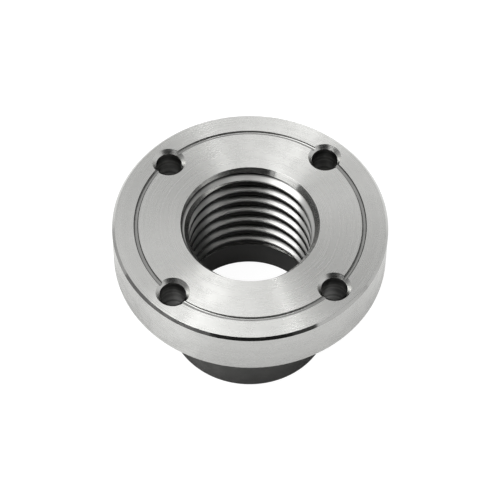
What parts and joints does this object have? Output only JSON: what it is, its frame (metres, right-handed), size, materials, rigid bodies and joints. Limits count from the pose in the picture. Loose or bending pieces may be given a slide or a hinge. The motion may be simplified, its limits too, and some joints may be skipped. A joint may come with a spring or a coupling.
{
  "type": "lathe faceplate",
  "caption": "Small round faceplate for a wood lathe: a flange with countersunk screw holes on a plain hub, threaded through to fit a spindle.",
  "frame": {"origin": "centre of the hub's end face, the face that seats against the spindle's shoulder", "axes": "+Z along the bore towards the front face, +X and +Y midway between screw holes"},
  "size_m": [0.0508, 0.0508, 0.0318],
  "materials": {
    "turned_steel": "bright turned steel with fine tool marks, uncoated"
  },
  "bodies": {
    "root": {"faceplate": "turned_steel"}
  },
  "joints": []
}
